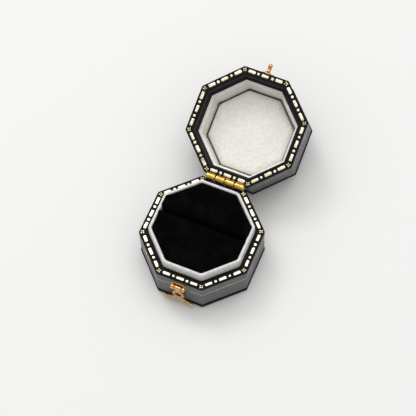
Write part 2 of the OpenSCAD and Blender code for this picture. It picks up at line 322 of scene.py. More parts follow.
def leather(name, colour, light, roughness, grain, depth, shine):
    """Grained leather: pebbles of that size, cloudy colour and paler scuffed edges."""
    look = Look(name, colour, roughness)
    streaks = look.stretched_noise(0.5, (0.12, 0.12, 1.0), 3.0)
    clouds = look.maths("MULTIPLY", look.remap(look.noise(5, 4), 0.3, 0.7, 0.3, 1.0),
                        look.remap(streaks, 0.35, 0.65))
    cloudy = look.mix(clouds, colour, tuple(0.7 * c + 0.3 * l for c, l in zip(colour, light)))
    grainy = look.mix(look.remap(look.cells(grain), 0.15, 0.75, 0, 0.35), cloudy, light)
    scuffs = look.maths("MULTIPLY", look.wear_and_shade_at_edges(), look.remap(look.noise(0.9, 5), 0.38, 0.62))
    look.colour_by(look.maths("MULTIPLY", scuffs, 0.55), grainy, light)
    look.link(
        look.remap(look.noise(2.2, 4), 0.3, 0.7, roughness - 0.07, roughness + 0.08),
        look.shader.inputs["Roughness"],
    )
    look.bump(look.cells(grain, "SMOOTH_F1"), depth)
    look.bump(look.noise(3.0, 3), depth * 1.6, 0.7)
    look.bump(look.noise(grain * 0.4, 2), depth * 0.25, 0.6)
    look.put("Specular IOR Level", shine)
    look.put("IOR", 1.2 if shine < 0.2 else 1.45)


def foil(name, colour, dull, bare, cover):
    """Gilt foil pressed into leather: bright in the middle, broken at its edges, and painted olive
    along them as painted shade, the darker reflection round each domed stamp.
    """
    look = Look(name, colour, 0.24, 1.0)
    rubbed_zones = look.remap(look.noise(8, 2), 0.5, 0.72, 0, 0.16)
    grain = look.maths("SUBTRACT", look.noise(0.35, 4, 0.65), rubbed_zones)
    patches = look.remap(grain, 0.5 - cover, 0.6 - cover)
    aged = look.mix(look.remap(look.noise(0.9, 3), 0.42, 0.66), colour, dull)
    # Dulled towards olive along sharp edges: painted shade, the darker reflection round each domed
    # stamp.
    aged_with_edge_shade = look.mix(look.remap(look.wear_and_shade_at_edges(), 0.3, 1.0, 0, 0.6), aged, dull)
    look.colour_by(patches, bare, aged_with_edge_shade)
    look.link(patches, look.shader.inputs["Metallic"])
    look.link(look.remap(look.noise(0.6, 3), 0.3, 0.7, 0.2, 0.36),
              look.shader.inputs["Roughness"])
    look.bump(look.noise(0.28, 3), 0.02, 0.7)


def brass(name, colour, deep, roughness):
    """Polished brass with fine scratches, cloudy patina and brighter rubbed edges."""
    look = Look(name, colour, roughness, 1.0)
    patina = look.mix(look.remap(look.noise(1.4, 5, 0.6), 0.4, 0.64, 0, 0.75), colour, deep)
    rubbed = tuple(min(1.0, 1.12 * c + 0.03) for c in colour)
    look.colour_by(look.maths("MULTIPLY", look.wear_and_shade_at_edges(), 0.6), patina, rubbed)
    look.link(look.remap(look.noise(0.5, 4), 0.3, 0.75, roughness - 0.05, roughness + 0.13),
              look.shader.inputs["Roughness"])
    look.bump(look.stretched_noise(0.12, (0.08, 1.0, 1.0), 2.0), 0.003, 0.5)
    look.bump(look.noise(0.9, 3), 0.008, 0.4)


def satin(name, colour, shade, roughness, thread, sheen):
    """Satin: a fine weave of two crossing threads, slightly mottled, with a soft sheen."""
    look = Look(name, colour, roughness, Sheen_Weight=sheen, Sheen_Roughness=0.35,
                Specular_IOR_Level=0.55)
    mottled = look.mix(look.remap(look.noise(1.2, 5, 0.62), 0.4, 0.62), colour, shade)
    clouds = look.mix(look.remap(look.noise(7, 3), 0.4, 0.75, 0, 0.5), mottled, shade)
    threads = []
    for axis in ("X", "Y"):
        wave = look.add("ShaderNodeTexWave", Scale=1 / (6.3 * thread * MM), Distortion=0.6,
                        Detail=1.0)
        wave.bands_direction = axis
        look.link(look.where, wave.inputs["Vector"])
        threads.append(wave.outputs["Fac"])
    weave = look.maths("MULTIPLY", *threads)
    look.colour_by(look.remap(weave, 0, 1, 0, 0.12), clouds, tuple(0.72 * c for c in shade))
    look.link(look.remap(look.noise(1.1, 3), 0.3, 0.7, roughness - 0.06, roughness + 0.08),
              look.shader.inputs["Roughness"])
    look.bump(weave, 0.012, 0.6)
    look.bump(look.noise(1.2, 4, 0.6), 0.16, 0.8)


def velvet(name, colour, tip):
    """Deep velvet: almost no light straight on, a faint sheen across the pile."""
    look = Look(name, colour, 0.95, Sheen_Weight=0.02, Sheen_Roughness=0.4,
                Specular_IOR_Level=0.03)
    look.put("Sheen Tint", (0.62, 0.64, 0.72, 1))
    brushed = look.remap(look.noise(6, 3, 0.5, 0.8), 0.42, 0.68)
    pile = look.remap(look.noise(0.22, 2), 0.35, 0.7)
    look.colour_by(look.maths("MULTIPLY", brushed, pile), colour, tip)
    look.bump(look.noise(0.16, 2), 0.05, 0.8)


def fibre(name, colour, dark, feature, roughness=0.9):
    """Felt, paper or card: matted fibres of that size."""
    look = Look(name, colour, roughness)
    look.put("Specular IOR Level", 0.2)
    fibres = look.noise(feature, 5, 0.65, 1.2)
    look.colour_by(look.remap(fibres, 0.32, 0.7), dark, colour)
    look.bump(fibres, 0.03, 0.8)


def wood(name, pale, dark):
    """Plain sawn wood with rings along X."""
    look = Look(name, pale, 0.62)
    rings = look.stretched_noise(1.6, (0.15, 1.0, 1.0), 5.0, 1.5)
    look.colour_by(look.remap(rings, 0.35, 0.68), pale, dark)
    look.bump(rings, 0.03, 0.5)


# One dark leather covers the box, made as two copies: the walls' grey is partly its own tone and
# partly painted light, the bright floor's reflection; the near-black of the rims and boards is
# partly painted shade.
leather("grey_leather", (0.088, 0.089, 0.094), (0.19, 0.192, 0.198),
        roughness=0.46, grain=0.32, depth=0.028, shine=0.4)
leather("black_leather", (0.0042, 0.0042, 0.0048), (0.022, 0.022, 0.025),
        roughness=0.38, grain=0.26, depth=0.022, shine=0.18)
foil("gilt_foil", (1.0, 0.965, 0.86), (0.70, 0.60, 0.31), (0.14, 0.11, 0.05), cover=0.16)
foil("tooled_line", (0.86, 0.76, 0.52), (0.62, 0.53, 0.33), (0.12, 0.115, 0.10), cover=0.12)
brass("hinge_brass", (0.76, 0.49, 0.12), (0.32, 0.19, 0.02), roughness=0.12)
brass("clasp_brass", (0.75, 0.44, 0.17), (0.30, 0.15, 0.045), roughness=0.14)
satin("silver_satin", (0.83, 0.825, 0.81), (0.66, 0.65, 0.63),
      roughness=0.34, thread=0.16, sheen=0.1)
satin("ivory_satin", (0.94, 0.925, 0.89), (0.84, 0.81, 0.76),
      roughness=0.42, thread=0.18, sheen=0.12)
velvet("black_velvet", (0.0011, 0.0011, 0.0012), (0.005, 0.005, 0.0055))
fibre("felt", (0.06, 0.06, 0.065), (0.025, 0.025, 0.028), feature=0.35)
fibre("lining_paper", (0.03, 0.029, 0.03), (0.014, 0.013, 0.014), feature=0.25, roughness=0.6)
fibre("card", (0.66, 0.6, 0.48), (0.5, 0.44, 0.33), feature=0.4)
wood("wood", (0.55, 0.4, 0.25), (0.36, 0.23, 0.12))

# ==== pieces ====

UPRIGHT = Matrix.Rotation(math.pi / 2, 4, "X")


def into_frame(mesh, body):
    """Takes a mesh from millimetres on the shut box to metres at rest."""
    mesh.transform(Matrix.Scale(MM, 4))
    if body == "lid":
        mesh.transform(swing)


def evaluated(piece):
    """A new mesh of an object with its modifiers applied."""
    bpy.context.view_layer.update()
    graph = bpy.context.evaluated_depsgraph_get()
    return bpy.data.meshes.new_from_object(piece.evaluated_get(graph))


def linked(name, data):
    piece = bpy.data.objects.new(name, data)
    bpy.context.scene.collection.objects.link(piece)
    return piece


def modified(mesh, kind, **settings):
    """mesh with one modifier applied, as a new mesh."""
    holder = linked("holder", mesh)
    modifier = holder.modifiers.new("change", kind)
    for name, value in settings.items():
        setattr(modifier, name, value)
    result = evaluated(holder)
    bpy.data.objects.remove(holder)
    return result


def shape_of(mesh):
    """The (points, faces) pair of a mesh."""
    return ([vertex.co.copy() for vertex in mesh.vertices],
            [tuple(polygon.vertices) for polygon in mesh.polygons])


def paint_edge_wear_and_shade(mesh):
    """Stores how sharply the surface turns at each vertex as an edge attribute: scuffs on leather,
    rubbed brass and painted shade on foil.
    """
    net = bmesh.new()
    net.from_mesh(mesh)
    edge_wear_and_shade = [0.0] * len(net.verts)
    for edge in net.edges:
        if len(edge.link_faces) == 2:
            turn = edge.calc_face_angle(0.0) / edge.calc_length() * MM
            for vertex in edge.verts:
                edge_wear_and_shade[vertex.index] = max(edge_wear_and_shade[vertex.index], min(1.0, turn / 2.5))
    net.free()
    attribute = mesh.attributes.new("edge_wear_and_shade", "FLOAT", "POINT")
    attribute.data.foreach_set("value", edge_wear_and_shade)


def add_piece(name, shape, body, slot, nodes, sharp=38.0):
    """Makes an object of shape, a (points, faces) pair or a mesh in millimetres.

    It rides on body, takes slot's finish and stands for the CAD nodes.
    """
    if isinstance(shape, tuple):
        mesh = bpy.data.meshes.new(name)
        mesh.from_pydata(shape[0], [], shape[1])
    else:
        mesh = shape
        mesh.name = name
    into_frame(mesh, body)
    net = bmesh.new()
    net.from_mesh(mesh)
    bmesh.ops.remove_doubles(net, verts=net.verts, dist=1e-7)
    bmesh.ops.recalc_face_normals(net, faces=net.faces)
    net.to_mesh(mesh)
    net.free()
    paint_edge_wear_and_shade(mesh)
    mesh.shade_smooth()
    mesh.set_sharp_from_angle(angle=math.radians(sharp))
    mesh.materials.clear()
    mesh.materials.append(LOOKS[slot])
    piece = linked(name, mesh)
    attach(piece, body)
    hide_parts(*nodes)
    return piece


def joined(shapes):
    """Several (points, faces) pairs as one."""
    points, faces = [], []
    for some_points, some_faces in shapes:
        start = len(points)
        points += some_points
        faces += [tuple(start + index for index in face) for face in some_faces]
    return points, faces


def moved(shape, matrix):
    return [matrix @ Vector(point) for point in shape[0]], shape[1]


def octagon(width, radius, arc, flat):
    """Points round an octagon with flats towards X and Y and rounded corners."""
    out = (width / 2 - radius) / math.cos(TURN / 2)
    points = []
    for side in range(SIDES):
        turn = side * TURN
        centre = out * Vector((math.cos(turn + TURN / 2), math.sin(turn + TURN / 2)))
        for step in range(arc + 1):
            angle = turn + TURN * step / arc
            points.append(centre + radius * Vector((math.cos(angle), math.sin(angle))))
        angle = turn + TURN
        after = out * Vector((math.cos(angle + TURN / 2), math.sin(angle + TURN / 2)))
        after += radius * Vector((math.cos(angle), math.sin(angle)))
        start = points[-1]
        points += [start.lerp(after, step / flat) for step in range(1, flat)]
    return points


def softened(corners, closed=True, steps=4):
    """(width, z) points of an outline whose (width, z, radius) corners are rounded."""
    points = []
    for index, (width, z, radius) in enumerate(corners):
        ends = not closed and index in (0, len(corners) - 1)
        if radius == 0 or ends:
            points.append((width, z))
            continue
        here = Vector((width / 2, z))
        back = corners[index - 1]
        ahead = corners[(index + 1) % len(corners)]
        to_back = (Vector((back[0] / 2, back[1])) - here).normalized()
        to_ahead = (Vector((ahead[0] / 2, ahead[1])) - here).normalized()
        half = to_back.angle(to_ahead) / 2
        centre = here + (to_back + to_ahead).normalized() * radius / math.sin(half)
        first = here + to_back * radius / math.tan(half) - centre
        last = here + to_ahead * radius / math.tan(half) - centre
        start = math.atan2(first.y, first.x)
        sweep = math.atan2(last.y, last.x) - start
        sweep = (sweep + math.pi) % (2 * math.pi) - math.pi
        for step in range(steps + 1):
            angle = start + sweep * step / steps
            points.append((
                2 * (centre.x + radius * math.cos(angle)),
                centre.y + radius * math.sin(angle),
            ))
    return points


def loft(rings, closed):
    """Skin over rings of equally many points; open ends are capped with one face each."""
    count = len(rings[0])
    points = [point for ring in rings for point in ring]
    faces = []
    for level in range(len(rings) if closed else len(rings) - 1):
        low = level * count
        high = (level + 1) % len(rings) * count
        for k in range(count):
            after = (k + 1) % count
            faces.append((low + k, low + after, high + after, high + k))
    if not closed:
        faces.append(tuple(range(count))[::-1])
        faces.append(tuple(range((len(rings) - 1) * count, len(rings) * count)))
    return points, faces


def swept(outline, corner, closed=True, arc=6, flat=24, dent=None):
    """An outline of (width, z) points swept round the octagon.

    corner(width) is the corner radius at that width. dent(point) gives the moved point.
    """
    rings = []
    for width, z in outline:
        ring = []
        for flat_point in octagon(width, corner(width), arc, flat):
            point = Vector((flat_point.x, flat_point.y, z))
            if dent:
                point = dent(point)
            ring.append(point)
        rings.append(ring)
    return loft(rings, closed)


def corner_between(narrow, narrow_r, wide, wide_r):
    """Corner radius that runs from narrow_r at one width to wide_r at another."""
    def corner(width):
        share = min(1.0, max(0.0, (width - narrow) / (wide - narrow)))
        return narrow_r + (wide_r - narrow_r) * share
    return corner


def around(point):
    """Where a point lies round the octagon: (its side, its place from -1 to 1 along it)."""
    angle = math.atan2(point.y, point.x)
    side = round(angle / TURN)
    across = point.x * math.cos(side * TURN) + point.y * math.sin(side * TURN)
    along = point.y * math.cos(side * TURN) - point.x * math.sin(side * TURN)
    return side % SIDES, along / (across * math.tan(TURN / 2))


def wavy(amount, feature, seed):
    """A dent that moves points by smooth noise of that size, in millimetres."""
    shift = Vector((17.3, 5.1, 9.7)) * seed

    def dent(point):
        return point + amount * noise.noise_vector(point / feature + shift)
    return dent


def turned(outline, steps=40, closed=False):
    """A (radius, z) outline turned about Z; radius 0 points make poles."""
    angles = [2 * math.pi * k / steps for k in range(steps)]
    rings = [
        [Vector((max(radius, 1e-4) * math.cos(a), max(radius, 1e-4) * math.sin(a), z))
         for a in angles]
        for radius, z in outline
    ]
    return loft(rings, closed)


def along_x(x, y, z):
    """Puts a lathed shape's axis along X with its origin at x, y, z."""
    return Matrix.Translation((x, y, z)) @ Matrix.Rotation(math.pi / 2, 4, "Y")


def out_of_front(x, z, out=0.0):
    """Turns a shape's Z to -Y, with its origin that far out of the front wall."""
    return Matrix.Translation((x, front_y - out, z)) @ UPRIGHT


def smooth_line(points, steps):
    """A closed Catmull-Rom curve through points."""
    line = []
    count = len(points)
    for k in range(count):
        p = [Vector(points[(k + d) % count]) for d in (-1, 0, 1, 2)]
        for step in range(steps):
            t = step / steps
            line.append(0.5 * (
                2 * p[1] + (p[2] - p[0]) * t
                + (2 * p[0] - 5 * p[1] + 4 * p[2] - p[3]) * t * t
                + (3 * p[1] - p[0] - 3 * p[2] + p[3]) * t ** 3
            ))
    return line


def sheet_metal(outlines, thickness, edge):
    """A flat plate in X and Y with rounded edges, holes where outlines lie inside another."""
    curve = bpy.data.curves.new("plate", "CURVE")
    curve.dimensions = "2D"
    curve.fill_mode = "BOTH"
    curve.extrude = thickness / 2 - edge
    curve.bevel_depth = edge
    curve.bevel_resolution = 3
    curve.offset = -edge
    for outline in outlines:
        spline = curve.splines.new("POLY")
        spline.points.add(len(outline) - 1)
        for target, point in zip(spline.points, outline):
            target.co = (point[0], point[1], 0, 1)
        spline.use_cyclic_u = True
    holder = linked("plate", curve)
    mesh = bpy.data.meshes.new_from_object(holder)
    shape = shape_of(mesh)
    bpy.data.objects.remove(holder)
    bpy.data.curves.remove(curve)
    bpy.data.meshes.remove(mesh)
    return shape


def cut_away(piece, cutter_shape, body):
    """Cuts a (points, faces) shape in millimetres out of a finished piece."""
    mesh = bpy.data.meshes.new("cutter")
    mesh.from_pydata(cutter_shape[0], [], cutter_shape[1])
    into_frame(mesh, body)
    cutter = linked("cutter", mesh)
    boolean = piece.modifiers.new("cut", "BOOLEAN")
    boolean.operation = "DIFFERENCE"
    boolean.solver = "EXACT"
    boolean.object = cutter
    result = evaluated(piece)
    piece.modifiers.clear()
    old = piece.data
    piece.data = result
    result.name = old.name
    bpy.data.meshes.remove(old)
    bpy.data.objects.remove(cutter)
    bpy.data.meshes.remove(mesh)


def barrel_notch(room):
    """A rod along X that leaves that much room round the hinge barrel."""
    radius = barrel_r + room
    reach = hinge_len / 2 + 0.25
    rod = turned([(radius, -reach), (radius, reach)], 48)
    return moved(rod, along_x(0, hinge_y, hinge_z))


# ---- the walls, rims and panels ----


def add_wall(name, body, low_z, high_z, node, seed):
    """Leather round the wall, turned slightly under at its foot; its grey is partly painted light,
    the bright floor's reflection.
    """
    outline = softened([
        (box_w, low_z, 0.25), (box_w, high_z, 0.15), (box_w - 0.9, high_z, 0.1),
        (box_w - 0.9, low_z, 0.1),
    ])
    # More rings up the wall, so that it can undulate
    full = []
    for here, after in zip(outline, outline[1:] + outline[:1]):
        full.append(here)
        if abs(after[1] - here[1]) > 5:
            full += [(here[0] + (after[0] - here[0]) * k / 10,
                      here[1] + (after[1] - here[1]) * k / 10) for k in range(1, 10)]
    shape = swept(full, corner_between(box_w - 1, 0.5, box_w, 0.9), dent=wavy(0.05, 4, seed))
    piece = add_piece(name, shape, body, "grey_leather", [node])
    cut_away(piece, barrel_notch(0.28), body)
    return piece


def add_facing(name, body, z, up, inner_w, node, seed):
    """Black leather on a rim, rolled over its outer edge, with two blind-tooled grooves; its
    near-black is partly painted shade.

    up is 1 on the base, whose rim faces up, and -1 on the lid.
    """
    groove_w, groove_d = 0.28, 0.09
    corners = [(box_w + 0.16, z - up * 0.75, 0.06), (box_w + 0.16, z, 0.32)]
    for inset in (GILT_INSET - 0.95, GILT_INSET + 0.95):
        middle = box_w - 2 * inset
        corners += [(middle + groove_w, z, 0.05), (middle, z - up * groove_d, 0.05),
                    (middle - groove_w, z, 0.05)]
    corners += [(inner_w + 0.04, z, 0.22), (inner_w + 0.04, z - up * facing_t, 0.03),
                (box_w - 0.1, z - up * facing_t, 0.02), (box_w - 0.1, z - up * 0.75, 0.02)]
    shape = swept(softened(corners, steps=3), corner_between(inner_w, 0.5, box_w, 1.0),
                  dent=wavy(0.03, 2.5, seed))
    piece = add_piece(name, shape, body, "black_leather", [node])
    cut_away(piece, barrel_notch(0.06), body)
    return piece


def add_slab(name, body, slot, node, width, low_z, high_z, edge, corner, seed):
    """A covered board with rolled edges."""
    outline = softened([
        (width * 0.5, low_z, 0), (width, low_z, edge), (width, high_z, edge),
        (width * 0.5, high_z, 0),
    ], closed=False, steps=5)
    shape = swept(outline, lambda w: min(corner, w / 4), closed=False,
                  dent=wavy(0.03, 5, seed))
    add_piece(name, shape, body, slot, [node])


def add_side_line(body):
    """A thin gilt line tooled round the wall."""
    node = body + "_side_gilt_line"
    low, high = shut_box(node)
    z = (low.z + high.z) / 2
    outline = softened([
        (box_w + 0.08, z - 0.17, 0.03), (box_w + 0.08, z + 0.17, 0.03),
        (box_w - 0.2, z + 0.17, 0), (box_w - 0.2, z - 0.17, 0),
    ], steps=2)
    shape = swept(outline, lambda w: 0.9, dent=wavy(0.03, 3, 8))
    add_piece(body + "_side_line", shape, body, "tooled_line", [node])


# ---- gilding ----


def stamp(length, width, height, roundness):
    """A domed bar of foil along X with rounded corners."""
    outline = []
    for quarter, (sx, sy) in enumerate(((1, 1), (-1, 1), (-1, -1), (1, -1))):
        for step in range(5):
            angle = (quarter + step / 4) * math.pi / 2
            outline.append((
                sx * (length / 2 - roundness) + roundness * math.cos(angle),
                sy * (width / 2 - roundness) + roundness * math.sin(angle),
            ))
    rings = []
    for shrink, rise in ((0.0, 0.0), (0.0, 0.4), (0.1, 0.75), (0.28, 0.93), (0.6, 1.0)):
        inset = shrink * width / 2
        rings.append([
            Vector((x * (1 - 2 * inset / length), y * (1 - 2 * inset / width), rise * height))
            for x, y in outline
        ])
    return loft(rings, closed=False)


def petal(length, width, height):
    """A domed drop of foil, pointed at the origin and rounded at its far end along X."""
    outline = []
    for step in range(16):
        angle = 2 * math.pi * step / 16
        taper = math.sin(angle / 2) ** 1.4
        outline.append((length / 2 * (1 - math.cos(angle)), width * math.sin(angle) * taper))
    rings = []
    for shrink, rise in ((1.0, 0.0), (1.0, 0.4), (0.86, 0.8), (0.5, 1.0)):
        rings.append([
            Vector((length * 0.6 + (x - length * 0.6) * shrink, y * shrink, rise * height))
            for x, y in outline
        ])
    return loft(rings, closed=False)


def gilding(z, up, seed, plain_side=None):
    """Dash-and-dot border with a small four-petalled flower at each corner, stamped by hand.

    up is 1 on the base and -1 on the lid. plain_side gets its flowers only.
    """
    rng = random.Random(seed)
    height = 0.13
    sunk = 0.04
    step = 3.2
    border = box_w - 2 * GILT_INSET
    clear_of_hinge = 0.3
    shapes = []

    def press(shape, x, y, tilt, where):
        place = Matrix.Translation((x, y, -sunk)) @ Matrix.Rotation(tilt, 4, "Z")
        shapes.append(moved(moved(shape, place), where))

    flip = Matrix.Identity(4) if up > 0 else Matrix.Rotation(math.pi, 4, "Y")
    for side in range(SIDES):
        turn = Matrix.Rotation(side * TURN, 4, "Z")
        inward = clear_of_hinge if side == SIDES // 2 else 0
        onto_side = turn @ Matrix.Translation((0, inward - border / 2, z)) @ flip
        for k in () if side == plain_side else (-2, 0, 2):
            dash = stamp(3.4 + rng.uniform(-0.3, 0.2), 1.34 + rng.uniform(-0.12, 0.08),
                         height, 0.36)
            press(dash, k * step + rng.uniform(-0.15, 0.15), rng.uniform(-0.05, 0.05),
                  rng.uniform(-0.02, 0.02), onto_side)
        for k in () if side == plain_side else (-1, 1):
            size = 1.25 + rng.uniform(-0.12, 0.08)
            press(stamp(size, size, height, 0.5), k * step + rng.uniform(-0.12, 0.12),
                  rng.uniform(-0.05, 0.05), 0, onto_side)
        corner = Matrix.Rotation(TURN / 2, 4, "Z") @ Matrix.Translation(
            (0, -border / 2 / math.cos(TURN / 2), z))
        onto_corner = turn @ corner @ flip
        for quarter in range(4):
            angle = (quarter + 0.5) * math.pi / 2 + rng.uniform(-0.15, 0.15)
            press(petal(0.85, 0.44, height), 0.1 * math.cos(angle), 0.1 * math.sin(angle),
                  angle, onto_corner)
    return joined(shapes)


# ---- collar and pads ----


def pleats(point, depth):
    """Small gathers of satin near the corners, strongest at the corner itself."""
    side, along = around(point)
    near = max(0.0, (abs(along) - 0.72) / 0.28)
    gather = math.sin(along * 46 + side * 1.7) * depth * near
    outward = Vector((point.x, point.y, 0)).normalized()
    return point + outward * gather


def add_collar():
    lip = (collar_w - pad_w) / 4
    low_z = base_z - 0.6
    outline = softened([
        (collar_w - 0.06, low_z, 0.05), (collar_w - 0.1, collar_z - 2.5, 0.8),
        (collar_w - 0.3, collar_z, lip * 0.94), (pad_w - 0.1, collar_z, lip * 0.94),
        (pad_w - 0.1, pad_z - 4, 0.05), (pad_w + 0.6, pad_z - 4, 0.05),
        (pad_w + 0.6, low_z, 0.05),
    ], steps=8)
    swell = wavy(0.07, 3.5, 3)

    def dent(point):
        return pleats(swell(point), 0.05)

    shape = swept(outline, corner_between(pad_w, 2.4, collar_w, 2.2), arc=10, flat=34, dent=dent)
    add_piece("collar_cover", shape, "base", "silver_satin", ["collar_satin"], 80)


def puffed(shape, voxel, pressure, slack, cap, keep_in, steps=22):
    """A closed shape in millimetres, remeshed and swelled as cloth, as a mesh.

    slack is the share by which the cloth is larger than what it covers. No point moves
    further than cap, and keep_in(point) puts each point back into the room it has.
    """
    mesh = bpy.data.meshes.new("pad")
    mesh.from_pydata(shape[0], [], shape[1])
    to_sim = SIM_SCALE * MM
    mesh.transform(Matrix.Scale(to_sim, 4))
    mesh = modified(mesh, "REMESH", mode="VOXEL", voxel_size=voxel * to_sim)
    start = [vertex.co.copy() for vertex in mesh.vertices]
    holder = linked("cloth", mesh)
    cloth = holder.modifiers.new("cloth", "CLOTH")
    settings = cloth.settings
    settings.quality = 6
    settings.mass = 0.3
    settings.tension_stiffness = 12
    settings.compression_stiffness = 12
    settings.bending_stiffness = 0.3
    settings.use_pressure = True
    settings.uniform_pressure_force = pressure
    settings.shrink_min = -slack
    settings.effector_weights.gravity = 0
    cloth.point_cache.frame_start = 1
    cloth.point_cache.frame_end = steps
    scene = bpy.context.scene
    for number in range(1, steps + 1):
        scene.frame_set(number)
    mesh = evaluated(holder)
    scene.frame_set(1)
    bpy.data.objects.remove(holder)
    for vertex, before in zip(mesh.vertices, start):
        shift = (vertex.co - before) / to_sim
        if shift.length > cap:
            shift *= cap / shift.length
        vertex.co = keep_in(before / to_sim + shift)
    net = bmesh.new()
    net.from_mesh(mesh)
    for _ in range(2):
        bmesh.ops.smooth_vert(net, verts=net.verts, factor=0.5, use_axis_x=True,
                              use_axis_y=True, use_axis_z=True)
    bmesh.ops.recalc_face_normals(net, faces=net.faces)
    net.to_mesh(mesh)
    net.free()
    return modified(mesh, "SUBSURF", levels=1)


def inside_octagon(point, width, cut):
    """point pulled back into an octagon of that width whose corners are cut by that much."""
    corner_out = width / 2 / math.cos(TURN / 2) - cut
    for step in range(2 * SIDES):
        turn = step * TURN / 2
        out = Vector((math.cos(turn), math.sin(turn), 0))
        beyond = point.dot(out) - (corner_out if step % 2 else width / 2)
        if beyond > 0:
            point = point - out * beyond
    return point


def half_slab(width, low_z, high_z, edge, side):
    """An octagonal pad cut at the slot: side -1 keeps its front, 1 its rear."""
    outline = softened([
        (width * 0.5, low_z, 0), (width, low_z, 0.4), (width, high_z - 1.2, 0.3),
        (width + 1.7, high_z - 0.6, 0.3), (width + 1.6, high_z, edge),
        (width * 0.5, high_z, 0),
    ], closed=False, steps=4)
    points, faces = swept(outline, lambda w: min(2.6, w / 4), closed=False, flat=12)
    mesh = bpy.data.meshes.new("half")
    mesh.from_pydata(points, [], faces)
    net = bmesh.new()
    net.from_mesh(mesh)
    bmesh.ops.recalc_face_normals(net, faces=net.faces)
    cut = bmesh.ops.bisect_plane(
        net, geom=net.verts[:] + net.edges[:] + net.faces[:],
        plane_co=(0, slot_y + side * slot_w * 0.45, 0), plane_no=(0, -side, 0),
        clear_outer=True,
    )
    rim = [part for part in cut["geom_cut"] if isinstance(part, bmesh.types.BMEdge)]
    bmesh.ops.contextual_create(net, geom=rim)
    net.to_mesh(mesh)
    net.free()
    shape = shape_of(mesh)
    bpy.data.meshes.remove(mesh)
    return shape


def add_ring_pad(name, node, side):
    """One velvet half of the ring pad; the slot is open in the middle and shut at its ends."""
    half_open = 0.09
    open_to = 12.5

    def keep_in(point):
        flare = min(1.0, max(0.0, (point.z - collar_z + 1.2) / 0.5))
        point = inside_octagon(point, pad_w - 0.1 + 1.9 * flare, 0.75)
        openness = max(0.0, 1 - (abs(point.x) / open_to) ** 4)
        gap = 0.02 + half_open * openness
        if side < 0:
            point.y = min(point.y, slot_y - gap)
        else:
            point.y = max(point.y, slot_y + gap)
        point.z = min(max(point.z, pad_low_z), collar_z + 0.3)
        return point

    shape = half_slab(pad_w - 0.15, pad_low_z, collar_z, 0.4, side)
    mesh = puffed(shape, 0.62, 3.0, 0.01, 0.9, keep_in)
    pad = add_piece(name, mesh, "base", "black_velvet", [node], 80)


def add_lid_pad():
    """The padded satin panel in the lid, on its card."""
    low, high = shut_box("lid_satin_pad")
    width = high.x - low.x
    outline = softened([
        (width * 0.5, high.z, 0), (width + 0.45, high.z, 0.2), (width + 1.0, low.z + 1.0, 0.4),
        (width + 0.8, low.z + 0.1, 0.9), (width * 0.5, low.z, 0),
    ], closed=False, steps=5)
    shape = swept(outline, lambda w: min(3.6, w / 4), closed=False, arc=8, flat=12)

    def keep_in(point):
        point = inside_octagon(point, width + 1.15, 1.1)
        point.z = max(min(point.z, high.z), low.z - 0.8)
        return point

    mesh = puffed(shape, 0.5, 2.6, 0.03, 0.8, keep_in)
    pad = add_piece("lid_pad", mesh, "lid", "ivory_satin", ["lid_satin_pad"], 80)


# ---- inside the lid ----


def add_inner_wall():
    """Black paper inside the lid's rim and the narrow ledge under the lining."""
    out_w, in_w = recess_w, recess_w - 2 * LINING_T
    ledge_in = in_w - 2 * LEDGE_W
    outline = softened([
        (out_w, lid_z + facing_t, 0), (in_w, lid_z + facing_t, 0.05), (in_w, ledge_z - 0.3, 0.15),
        (ledge_in, ledge_z - 0.3, 0.1), (ledge_in, ledge_z, 0.05), (out_w, ledge_z, 0),
    ])
    shape = swept(outline, corner_between(ledge_in, 0.4, out_w, 0.6), dent=wavy(0.03, 3, 5))
    add_piece("lid_black_wall", shape, "lid", "lining_paper", ["lid_inner_wall"], 60)


def add_side_lining():
    """Eight slanting satin panels with a folded top band."""
    top_w = recess_w - 2 * LINING_T - 2 * LEDGE_W
    bottom_w = top_w - LINING_DRAW
    slope = (bottom_w - top_w) / (panel_z - ledge_z)
    band = 1.7

    def face_w(z):
        return top_w + slope * (z - ledge_z)

    z0 = ledge_z + 0.02
    corners = [
        (top_w + 1.4, z0, 0.1), (face_w(z0) + 0.1, z0, 0.3),
        (face_w(z0 + band) + 0.1, z0 + band, 0.1),
        (face_w(z0 + band) - 1.4, z0 + band + 0.05, 0.3),
        (face_w(z0 + band * 1.8) - 0.7, z0 + band * 1.8, 1.5),
        (face_w(z0 + 7.0) - 0.5, z0 + 7.0, 1.5),
        (face_w(panel_z - 1.6) + 0.1, panel_z - 1.6, 0.6),
        (face_w(panel_z) + 1.2, panel_z - 0.5, 0.2), (face_w(panel_z) + 2.6, panel_z - 0.5, 0.1),
        (top_w + 1.6, z0 + 3, 0.1),
    ]
    swell = wavy(0.09, 3.2, 6)

    def dent(point):
        _, along = around(point)
        inward = Vector((-point.x, -point.y, 0)).normalized()
        return pleats(swell(point), 0.05) + inward * 0.16 * (1 - along ** 4)

    corner = corner_between(bottom_w, 2.4, top_w, 0.5)
    shape = swept(softened(corners, steps=4), corner, arc=6, flat=30, dent=dent)
    add_piece("lid_satin_sides", shape, "lid", "ivory_satin", ["lid_side_lining"], 50)


# ---- hinge ----


def knuckle_shape(index, bore, gap=0.46):
    """One hollow knuckle of the hinge barrel with chamfered ends."""
    length = hinge_len / 4 - gap
    middle = (index - 1.5) * hinge_len / 4
    edge = 0.3
    outline = [
        (bore, -length / 2), (barrel_r - edge, -length / 2),
        (barrel_r - edge * 0.3, -length / 2 + edge * 0.3), (barrel_r, -length / 2 + edge),
        (barrel_r + 0.01, 0), (barrel_r, length / 2 - edge),
        (barrel_r - edge * 0.3, length / 2 - edge * 0.3), (barrel_r - edge, length / 2),
        (bore, length / 2),
    ]
    return moved(turned(outline, 56, closed=True), along_x(middle, hinge_y, hinge_z))


